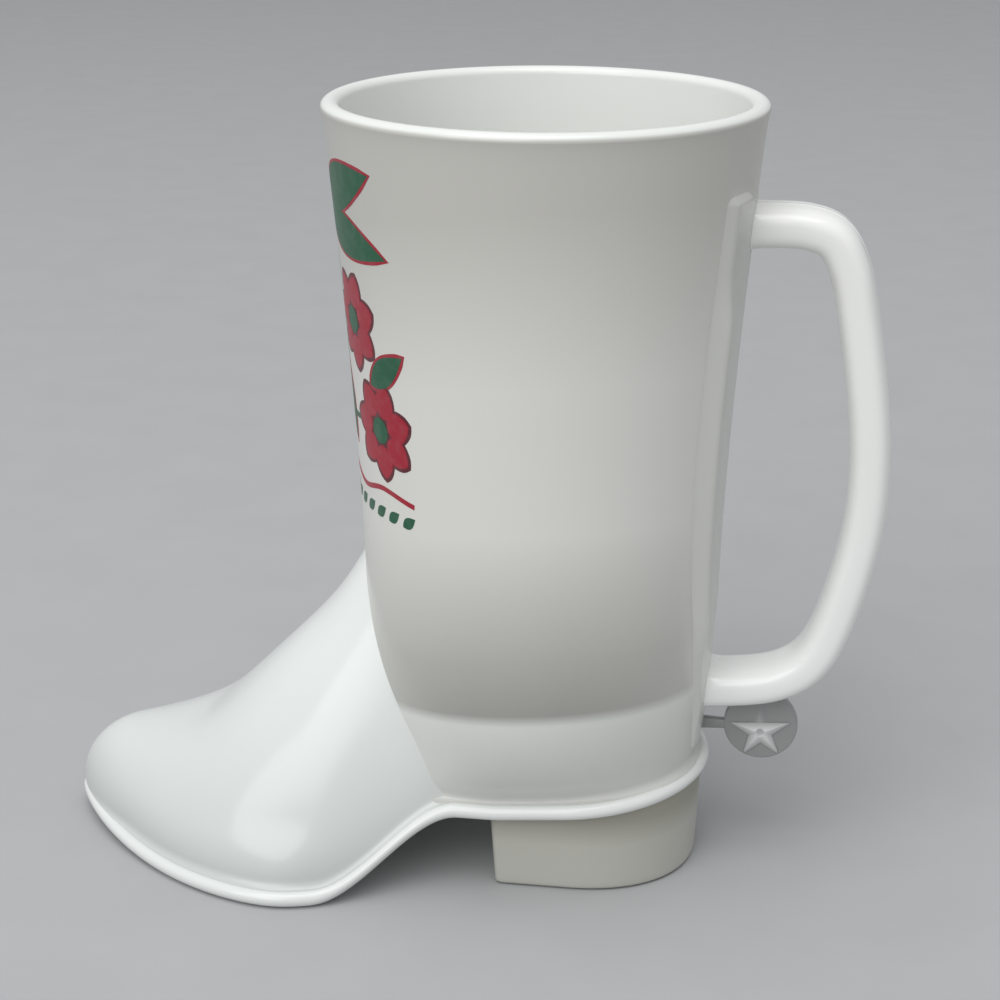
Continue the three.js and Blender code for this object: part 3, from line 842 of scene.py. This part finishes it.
rowel_centre = Vector((back_x(ROWEL_HEIGHT) + ROWEL_REACH, 0, ROWEL_HEIGHT))


def star_reach(angle):
    """Distance from the star's centre to its outline of four tips, level over the top."""
    spacing = math.pi / STAR_POINTS
    past_tip = (angle - math.pi / 2 - STAR_TURN) % (2 * spacing)
    from_tip = min(past_tip, 2 * spacing - past_tip)
    inner_x = STAR_INNER_RADIUS * math.cos(spacing)
    if math.cos(angle - math.pi / 2 - STAR_TURN) > math.cos(spacing):
        return inner_x / math.cos(from_tip)
    inner_y = STAR_INNER_RADIUS * math.sin(spacing)
    run = STAR_RADIUS - inner_x
    return STAR_RADIUS * inner_y / (run * math.sin(from_tip) + inner_y * math.cos(from_tip))


def disc_reach(angle, radius):
    """Distance from the star's centre, which lies below the disc's, to a circle round the disc's centre."""
    rise = STAR_DROP * math.sin(angle)
    return rise + math.sqrt(rise ** 2 + radius ** 2 - STAR_DROP ** 2)


star_centre = rowel_centre - Vector((0, 0, STAR_DROP))


def wheel_point(angle, reach, y):
    return star_centre + Vector((reach * math.cos(angle), y, reach * math.sin(angle)))


def star_top_point(side):
    """The star's top point, a low ridge that stands on one face of the disc."""
    face = ROWEL_THICKNESS / 2
    top = math.pi / 2 + STAR_TURN
    spacing = math.pi / STAR_POINTS
    points = []
    for depth in (face - STAR_EDGE_RELIEF, face):
        for angle, reach in (
            (top - spacing, STAR_INNER_RADIUS), (top + spacing, STAR_INNER_RADIUS), (top, STAR_RADIUS),
        ):
            points.append(wheel_point(angle, reach, side * depth))
    ridge_foot = STAR_INNER_RADIUS * math.cos(spacing)
    points.append(wheel_point(top, ridge_foot, side * (face + STAR_TOP_POINT_RELIEF)))
    faces = [(0, 1, 2), (0, 1, 4, 3), (1, 2, 5, 4), (2, 0, 3, 5), (3, 4, 6), (4, 5, 6), (5, 3, 6)]
    return points, faces


def rowel_shape():
    """Disc with a rounded rim and a faceted, dished star on both faces, its lower tips cut by the rim."""
    face = ROWEL_THICKNESS / 2
    flat_radius = ROWEL_RADIUS - ROWEL_RIM_ROUND
    angles = [angle + math.pi / 2 + STAR_TURN for angle in turns(STAR_POINTS * ROWEL_STEPS_PER_POINT)]
    reaches = [star_reach(angle) for angle in angles]
    cut_reaches = [
        min(reach, disc_reach(angle, flat_radius) - STAR_TIP_MARGIN)
        for angle, reach in zip(angles, reaches)
    ]
    half = [[(STAR_DISH_FLOOR_RADIUS, face + STAR_DISH_RELIEF) for _ in angles]]
    for share in (0, 0.5, 1):
        row = []
        for cut, reach in zip(cut_reaches, reaches):
            distance = lerp(STAR_DISH_RADIUS, cut, share)
            row.append((distance, face + lerp(STAR_PEAK_RELIEF, STAR_EDGE_RELIEF, distance / reach)))
        half.append(row)
    half.append([(cut + STAR_EDGE_SLOPE, face) for cut in cut_reaches])
    half.append([(disc_reach(angle, flat_radius), face) for angle in angles])
    for share in spread(ROWEL_RIM_STEPS)[1:]:
        turn = math.pi / 2 * share
        radius = flat_radius + ROWEL_RIM_ROUND * math.sin(turn)
        y = face - ROWEL_RIM_ROUND * (1 - math.cos(turn))
        half.append([(disc_reach(angle, radius), y) for angle in angles])
    rows = [[(reach, -y) for reach, y in row] for row in half] + list(reversed(half))
    disc_and_star = loft([
        [wheel_point(angle, reach, y) for (reach, y), angle in zip(row, angles)]
        for row in rows
    ])
    return join([disc_and_star, star_top_point(-1), star_top_point(1)])


def shank_shape():
    root_x = back_x(ROWEL_HEIGHT) - SHANK_SINK
    tip_x = rowel_centre.x - ROWEL_RADIUS + SHANK_SINK
    rings = []
    for share in spread(SHANK_STATIONS):
        eased = 1 - (1 - share) ** 2
        height = lerp(SHANK_ROOT_HEIGHT, SHANK_TIP_HEIGHT, eased)
        depth = lerp(SHANK_ROOT_DEPTH, SHANK_TIP_DEPTH, eased)
        ring = []
        for angle in turns(SHANK_SIDES):
            y = depth / 2 * signed_power(math.cos(angle), 2 / SHANK_SQUARENESS)
            z = height / 2 * signed_power(math.sin(angle), 2 / SHANK_SQUARENESS)
            ring.append((lerp(root_x, tip_x, share), y, ROWEL_HEIGHT - SHANK_DROP + z))
        rings.append(ring)
    return loft(rings)


# Materials

# Waviness and grain of the moulded skin
WAVE_DEPTH = 0.4
GRAIN_DEPTH = 0.1
# White of the cup's inside, which comes in as a wall turns to the axis or a lip turns up
INSIDE_COLOUR = (0.77, 0.785, 0.755)
INSIDE_BLEND = 8
LIP_BLEND_START = 0.25
LIP_BLEND_END = 0.6
# Painted shade: a darker band over the cup's floor, the hollow's shade seen through the wall, which fades
# as the wall turns from the boot's sides to its ends
SHADE_BAND_HEIGHTS = (45.7, 58)
SHADE_BAND_END_COLOUR = (0.565, 0.56, 0.525)
SHADE_BAND_FADE_START = 0.97
SHADE_BAND_FADE_END = 0.43


def new_material(name):
    material = bpy.data.materials.new(name)
    material.use_nodes = True
    return material, material.node_tree, material.node_tree.nodes["Principled BSDF"]


def add_node(tree, kind, inputs=(), **settings):
    """Shader node with its settings, its inputs either values or other nodes' outputs."""
    node = tree.nodes.new(kind)
    for name, value in settings.items():
        setattr(node, name, value)
    for name, value in dict(inputs).items():
        if isinstance(value, bpy.types.NodeSocket):
            tree.links.new(value, node.inputs[name])
        else:
            node.inputs[name].default_value = value
    return node


def colour_ramp(tree, factor, stops):
    node = add_node(tree, "ShaderNodeValToRGB", {"Fac": factor})
    elements = node.color_ramp.elements
    while len(elements) < len(stops):
        elements.new(1)
    for element, (position, colour) in zip(elements, stops):
        element.position = position
        element.color = (*colour, 1)
    return node.outputs["Color"]


def add_surface(tree, shader, place, low_roughness, high_roughness, wave_strength):
    """Moulded skin: slightly uneven gloss, and a faint waviness under a fine grain."""
    patches = add_node(tree, "ShaderNodeTexNoise", {"Vector": place, "Scale": 14, "Detail": 2})
    gloss = add_node(tree, "ShaderNodeMapRange", {
        "Value": patches.outputs["Fac"],
        "From Min": 0.3,
        "From Max": 0.7,
        "To Min": low_roughness,
        "To Max": high_roughness,
    })
    tree.links.new(gloss.outputs["Result"], shader.inputs["Roughness"])
    waves = add_node(tree, "ShaderNodeTexNoise", {"Vector": place, "Scale": 40, "Detail": 1})
    grain = add_node(tree, "ShaderNodeTexNoise", {"Vector": place, "Scale": 2200, "Detail": 2})
    wavy = add_node(tree, "ShaderNodeBump", {
        "Height": waves.outputs["Fac"],
        "Strength": wave_strength,
        "Distance": WAVE_DEPTH * MM,
    })
    grainy = add_node(tree, "ShaderNodeBump", {
        "Height": grain.outputs["Fac"],
        "Strength": 0.03,
        "Distance": GRAIN_DEPTH * MM,
        "Normal": wavy.outputs["Normal"],
    })
    tree.links.new(grainy.outputs["Normal"], shader.inputs["Normal"])


def height_tint(tree, place, stops):
    """Tint that runs up the mug through colour stops (height in mm, colour), which carry painted shade on
    most parts.
    """
    height = add_node(tree, "ShaderNodeSeparateXYZ", {"Vector": place}).outputs["Z"]
    share = add_node(tree, "ShaderNodeMapRange", {"Value": height, "From Max": CUP_HEIGHT * MM})
    return colour_ramp(tree, share.outputs["Result"], [(z / CUP_HEIGHT, colour) for z, colour in stops])


def relief_light_tint(tree, place, stops):
    """Tint that follows the distance from the centre plane, through stops (distance in mm, colour): the
    raised star painted light as a highlight, the disc dark, partly its own frosted grey and partly painted
    shade.
    """
    side = add_node(tree, "ShaderNodeSeparateXYZ", {"Vector": place}).outputs["Y"]
    distance = add_node(tree, "ShaderNodeMath", {0: side}, operation="ABSOLUTE").outputs[0]
    reach = ROWEL_THICKNESS / 2 + STAR_PEAK_RELIEF
    share = add_node(tree, "ShaderNodeMapRange", {"Value": distance, "From Max": reach * MM})
    return colour_ramp(tree, share.outputs["Result"], [(y / reach, colour) for y, colour in stops])


def mix_colours(tree, factor, first, second, blend_type="MIX"):
    mix = add_node(tree, "ShaderNodeMix", {0: factor, 6: first, 7: second}, data_type="RGBA")
    mix.blend_type = blend_type
    return mix.outputs[2]


def level_with_floor(tree, place):
    """Place on the cup, moved up or down so that the floor's tilted and bowed line comes out level."""
    x = add_node(tree, "ShaderNodeSeparateXYZ", {"Vector": place}).outputs["X"]
    slope = add_node(tree, "ShaderNodeMath", {
        0: x,
        1: FLOOR_LINE_BOW / MM,
        2: -FLOOR_LINE_TILT,
    }, operation="MULTIPLY_ADD")
    rise = add_node(tree, "ShaderNodeMath", {0: x, 1: slope.outputs[0]}, operation="MULTIPLY")
    shift = add_node(tree, "ShaderNodeCombineXYZ", {"Z": rise.outputs[0]})
    moved = add_node(tree, "ShaderNodeVectorMath", {0: place, 1: shift.outputs[0]}, operation="ADD")
    return moved.outputs[0]


def away_from_axis(tree, place):
    """Level arrow from the cup's axis to a place."""
    arrow = add_node(tree, "ShaderNodeVectorMath", {0: place, 1: (1, 1, 0)}, operation="MULTIPLY")
    return arrow.outputs[0]


def side_share(tree, place):
    """How far a place on the cup faces one of the boot's sides, from 0 towards its ends to 1."""
    arrow = away_from_axis(tree, place)
    way = add_node(tree, "ShaderNodeVectorMath", {0: arrow}, operation="NORMALIZE").outputs[0]
    side = add_node(tree, "ShaderNodeSeparateXYZ", {"Vector": way}).outputs["Y"]
    turn = add_node(tree, "ShaderNodeMath", {0: side}, operation="ABSOLUTE").outputs[0]
    share = add_node(tree, "ShaderNodeMapRange", {
        "Value": turn,
        "From Min": SHADE_BAND_FADE_END,
        "From Max": SHADE_BAND_FADE_START,
    })
    return share.outputs["Result"]


def cup_tint(tree, place, stops):
    """Tint of the cup: painted shade in stops up its sides, its dark band over the floor paler at the
    boot's ends, and one plain white for its inside.
    """
    normal = add_node(tree, "ShaderNodeTexCoord").outputs["Normal"]
    arrow = away_from_axis(tree, place)
    dot = add_node(tree, "ShaderNodeVectorMath", {0: arrow, 1: normal}, operation="DOT_PRODUCT")
    upward = add_node(tree, "ShaderNodeSeparateXYZ", {"Vector": normal}).outputs["Z"]
    height = add_node(tree, "ShaderNodeSeparateXYZ", {"Vector": place}).outputs["Z"]
    facing_in = add_node(tree, "ShaderNodeMapRange", {
        "Value": dot.outputs["Value"],
        "From Min": 0,
        "From Max": -INSIDE_BLEND * MM,
    })
    facing_up = add_node(tree, "ShaderNodeMapRange", {
        "Value": upward,
        "From Min": LIP_BLEND_START,
        "From Max": LIP_BLEND_END,
    })
    over_floor = add_node(tree, "ShaderNodeMath", {
        0: height,
        1: FLOOR_HEIGHT * MM,
    }, operation="GREATER_THAN")
    either = add_node(tree, "ShaderNodeMath", {
        0: facing_in.outputs["Result"],
        1: facing_up.outputs["Result"],
    }, operation="MAXIMUM")
    inside = add_node(tree, "ShaderNodeMath", {
        0: either.outputs[0],
        1: over_floor.outputs[0],
    }, operation="MULTIPLY")
    level = level_with_floor(tree, place)
    # Painted shade: the dark band over the floor is paler towards the boot's ends.
    ends = [(z, SHADE_BAND_END_COLOUR if z in SHADE_BAND_HEIGHTS else colour) for z, colour in stops]
    outside = mix_colours(
        tree, side_share(tree, place), height_tint(tree, level, ends), height_tint(tree, level, stops)
    )
    return mix_colours(tree, inside.outputs[0], outside, (*INSIDE_COLOUR, 1))


def plastic(name, make_tint, stops, roughness, wave_strength=0.08):
    """White plastic with a tint, which on most parts is painted shade, a faint cloudiness and a moulded
    skin.
    """
    material, tree, shader = new_material(name)
    place = add_node(tree, "ShaderNodeTexCoord").outputs["Object"]
    clouds = add_node(tree, "ShaderNodeTexNoise", {"Vector": place, "Scale": 18, "Detail": 2})
    veil = colour_ramp(tree, clouds.outputs["Fac"], [(0.3, (0.98, 0.98, 0.975)), (0.7, (1, 1, 1))])
    tint = mix_colours(tree, 1.0, make_tint(tree, place, stops), veil, "MULTIPLY")
    tree.links.new(tint, shader.inputs["Base Color"])
    add_surface(tree, shader, place, *roughness, wave_strength)
    return material


def ink(name, colour):
    """Screen-printed ink, a little thin in places."""
    material, tree, shader = new_material(name)
    place = add_node(tree, "ShaderNodeTexCoord").outputs["Object"]
    specks = add_node(tree, "ShaderNodeTexNoise", {"Vector": place, "Scale": 450, "Detail": 5})
    thin = tuple(lerp(part, 0.5, 0.07) for part in colour)
    tint = colour_ramp(tree, specks.outputs["Fac"], [(0.45, colour), (0.8, thin)])
    tree.links.new(tint, shader.inputs["Base Color"])
    add_surface(tree, shader, place, 0.28, 0.4, 0.1)
    return material


# Painted shade up the outer wall: darker near the bottom and the top, and a dark band just over the floor
# where the hollow's shade shows through.
cup_plastic = plastic("cup_plastic", cup_tint, [
    (20, (0.60, 0.60, 0.575)),
    (43.1, (0.74, 0.75, 0.715)),
    (SHADE_BAND_HEIGHTS[0], (0.365, 0.36, 0.335)),
    (SHADE_BAND_HEIGHTS[1], (0.43, 0.425, 0.395)),
    (85, (0.71, 0.705, 0.665)),
    (115, (0.70, 0.695, 0.655)),
    (150, (0.53, 0.52, 0.485)),
], (0.22, 0.26))
# Painted shade: darker towards the top.
strap_plastic = plastic("strap_plastic", height_tint, [
    (28, (0.70, 0.70, 0.67)),
    (70, (0.60, 0.60, 0.57)),
    (148, (0.55, 0.55, 0.52)),
], (0.22, 0.26))
# Painted shade: darker towards the bottom.
foot_plastic = plastic("foot_plastic", height_tint, [
    (3, (0.54, 0.565, 0.55)),
    (12, (0.61, 0.635, 0.62)),
    (25, (0.655, 0.68, 0.665)),
    (45, (0.735, 0.76, 0.745)),
    (65, (0.785, 0.81, 0.79)),
], (0.2, 0.24))
# Painted shade: a little darker towards the bottom.
welt_plastic = plastic("welt_plastic", height_tint, [
    (0, (0.71, 0.73, 0.715)),
    (24, (0.76, 0.775, 0.755)),
], (0.14, 0.18))
handle_plastic = plastic("handle_plastic", height_tint, [
    (30, (0.86, 0.87, 0.855)),
    (150, (0.85, 0.85, 0.825)),
], (0.16, 0.2))
# Painted shadow along the heel's top, under the welt; the cream below is its own colour.
heel_plastic = plastic("heel_plastic", height_tint, [
    (0, (0.505, 0.50, 0.455)),
    (11, (0.485, 0.48, 0.43)),
    (17, (0.33, 0.32, 0.27)),
], (0.32, 0.36))
# Raised star painted light as a highlight; the disc's dark grey is partly its own and partly painted shade.
spur_plastic = plastic("spur_plastic", relief_light_tint, [
    (1.15, (0.28, 0.29, 0.285)),
    (2, (0.66, 0.67, 0.665)),
], (0.3, 0.34))
green_ink = ink("green_ink", (0.004, 0.09, 0.038))
red_ink = ink("red_ink", (0.34, 0.003, 0.021))
dark_ink = ink("dark_ink", (0.10, 0.006, 0.014))

add_piece("cup", cup_shape(), cup_plastic, ["drinking_cup"])
add_piece("strap", strap_shape(), strap_plastic, ["back_strap"])
add_piece("grip", handle_shape(), handle_plastic, ["handle"])
add_piece("vamp", foot_shape(), foot_plastic, ["foot"])
add_piece("welt_bead", welt_shape(), welt_plastic, ["welt"])
add_piece("sole_plate", sole_shape(), welt_plastic, ["sole"])
add_piece("heel_block", heel_shape(), heel_plastic, ["heel"])
add_piece("spur_stem", shank_shape(), spur_plastic, ["spur_shank"])
add_piece("spur_wheel", rowel_shape(), spur_plastic, ["spur_rowel"], sharp_angle=18)


# Print: a spray of broad leaves and round flowers over two borders, mirrored about the front


def on_front(u, v, lift):
    """Point on the shaft at a distance round it from the toe's side, towards the viewer, and a height."""
    radius = shaft_radius(v)
    angle = math.pi + u / radius
    return (radius + lift) * math.cos(angle), (radius + lift) * math.sin(angle), v


def decal(grid, lift):
    outer = [[on_front(u, v, lift) for u, v in row] for row in grid]
    inner = [[on_front(u, v, -INK_SINK) for u, v in row] for row in grid]
    return slab(outer, inner)


def mirrored(grid):
    return [[(-u, v) for u, v in row] for row in grid]


def leaf(base, tip, width, fullness=1.0, grow=0.0):
    """Pointed oval from base to tip, grown all round for an outline."""
    start, end = Vector(base), Vector(tip)
    along = (end - start).normalized()
    across = Vector((-along.y, along.x))
    start -= along * grow * LEAF_TIP_GROWTH
    end += along * grow * LEAF_TIP_GROWTH
    rows = []
    for share in spread(LEAF_ROWS):
        half = width / 2 * math.sin(math.pi * share ** LEAF_BASE_FULLNESS) ** fullness
        half += grow * min(1, LEAF_TIP_TAPER * share, LEAF_TIP_TAPER * (1 - share))
        centre = start.lerp(end, share)
        rows.append([tuple(centre + across * half * (2 * step - 1)) for step in spread(LEAF_COLUMNS)])
    return rows


def disc(centre, radius):
    """Round spot on a square grid."""
    rows = []
    for v_share in spread(SPOT_STEPS):
        v = 2 * v_share - 1
        row = []
        for u_share in spread(SPOT_STEPS):
            u = 2 * u_share - 1
            row.append((
                centre[0] + radius * u * math.sqrt(1 - v * v / 2),
                centre[1] + radius * v * math.sqrt(1 - u * u / 2),
            ))
        rows.append(row)
    return rows


def ribbon(points, start_width, end_width):
    """Stroke along a spline through a few points."""
    line = spline([Vector(point) for point in points], STROKE_STEPS_PER_SPAN)
    rows = []
    for index, centre in enumerate(line):
        along = line[min(index + 1, len(line) - 1)] - line[max(index - 1, 0)]
        across = Vector((-along.y, along.x)).normalized()
        half = lerp(start_width, end_width, index / (len(line) - 1)) / 2
        rows.append([tuple(centre + across * half * side) for side in (-1, 0, 1)])
    return rows


def petal_ends(centre):
    """Base and tip of each petal of a round flower about a centre."""
    found = []
    for angle in turns(PETALS):
        way = Vector((math.cos(angle + FLOWER_TURN), math.sin(angle + FLOWER_TURN)))
        base = Vector(centre) + way * PETAL_START
        tip = Vector(centre) + way * FLOWER_RADIUS
        found.append((tuple(base), tuple(tip)))
    return found


def add_print():
    green, red, dark = [], [], []

    def both_sides(shapes, grid, lift=INK_LIFT):
        shapes.append(decal(grid, lift))
        shapes.append(decal(mirrored(grid), lift))

    def outlined_leaf(fill, edge, base, tip, width, fullness=1.0):
        both_sides(edge, leaf(base, tip, width, fullness, OUTLINE_WIDTH))
        both_sides(fill, leaf(base, tip, width, fullness), INK_LIFT + INK_STEP)

    for points, start_width, end_width in STEMS:
        both_sides(green, ribbon(points, start_width, end_width))
    for base, tip, width in LEAVES:
        outlined_leaf(green, red, base, tip, width)
    for centre in FLOWER_CENTRES:
        for base, tip in petal_ends(centre):
            outlined_leaf(red, dark, base, tip, PETAL_WIDTH, PETAL_FULLNESS)
        both_sides(green, disc(centre, FLOWER_EYE_RADIUS), INK_LIFT + 2 * INK_STEP)
    both_sides(red, ribbon(BORDER_LINE, BORDER_LINE_WIDTH, BORDER_LINE_WIDTH))
    for step in range(BORDER_LEAVES):
        middle = BORDER_LEAF_SPACING * (step + 0.5)
        base = (middle - BORDER_LEAF_LENGTH / 2, BORDER_BOTTOM)
        tip = (middle + BORDER_LEAF_LENGTH / 2, BORDER_TOP)
        both_sides(green, leaf(base, tip, BORDER_LEAF_WIDTH))
    add_piece("print_dark", join(dark), dark_ink)
    add_piece("print_green", join(green), green_ink)
    add_piece("print_red", join(red), red_ink)


add_print()


# Floor, light and camera, in metres

FLOOR_HALF_SIZE = 20.0
FLOOR_DROP = 0.0002
CAMERA_PLACE = (0.0549, -0.4165, 0.2294)
CAMERA_LOOK_DOWN = math.radians(19.64)
CAMERA_TURN = math.radians(8.74)
CAMERA_LENS = 75.39
CAMERA_SENSOR = 36
CAMERA_SIGHT = 50


def add_floor():
    material, tree, shader = new_material("floor_paper")
    place = add_node(tree, "ShaderNodeTexCoord").outputs["Object"]
    mottle = add_node(tree, "ShaderNodeTexNoise", {"Vector": place, "Scale": 40, "Detail": 4})
    tint = colour_ramp(tree, mottle.outputs["Fac"], [
        (0.3, (0.40, 0.405, 0.41)),
        (0.7, (0.415, 0.42, 0.425)),
    ])
    tree.links.new(tint, shader.inputs["Base Color"])
    shader.inputs["Roughness"].default_value = 0.9
    mesh = bpy.data.meshes.new("floor")
    half = FLOOR_HALF_SIZE
    corners = [(-half, -half), (half, -half), (half, half), (-half, half)]
    mesh.from_pydata([(x, y, -FLOOR_DROP) for x, y in corners], [], [(0, 1, 2, 3)])
    mesh.materials.append(material)
    floor = bpy.data.objects.new("floor", mesh)
    bpy.context.scene.collection.objects.link(floor)


def add_lamp(name, place, target, size, power):
    """Soft rectangular lamp aimed at a point."""
    lamp = bpy.data.lights.new(name, "AREA")
    lamp.shape = "RECTANGLE"
    lamp.size, lamp.size_y = size
    lamp.energy = power
    lamp_object = bpy.data.objects.new(name, lamp)
    lamp_object.location = place
    aim = Vector(target) - Vector(place)
    lamp_object.rotation_euler = aim.to_track_quat("-Z", "Y").to_euler()
    bpy.context.scene.collection.objects.link(lamp_object)


def add_world():
    world = bpy.data.worlds.new("studio")
    world.use_nodes = True
    sky = world.node_tree.nodes["Background"]
    sky.inputs["Color"].default_value = (0.96, 0.98, 1.0, 1)
    sky.inputs["Strength"].default_value = 0.58
    bpy.context.scene.world = world


def add_camera():
    camera = bpy.data.cameras.new("camera")
    camera.sensor_width = CAMERA_SENSOR
    camera.lens = CAMERA_LENS
    camera.clip_end = CAMERA_SIGHT
    camera_object = bpy.data.objects.new("camera", camera)
    camera_object.location = CAMERA_PLACE
    camera_object.rotation_euler = (math.pi / 2 - CAMERA_LOOK_DOWN, 0, CAMERA_TURN)
    bpy.context.scene.collection.objects.link(camera_object)
    bpy.context.scene.camera = camera_object


add_floor()
add_world()
add_lamp("ceiling_lamp", (-0.15, -0.5, 2.1), target=(0, 0, 0.05), size=(1.6, 1.6), power=21)
add_lamp("front_lamp", (-0.9, -1.9, 1.4), target=(0, 0, 0.08), size=(2.0, 1.5), power=23)
add_camera()

bpy.context.scene.view_settings.view_transform = "Standard"
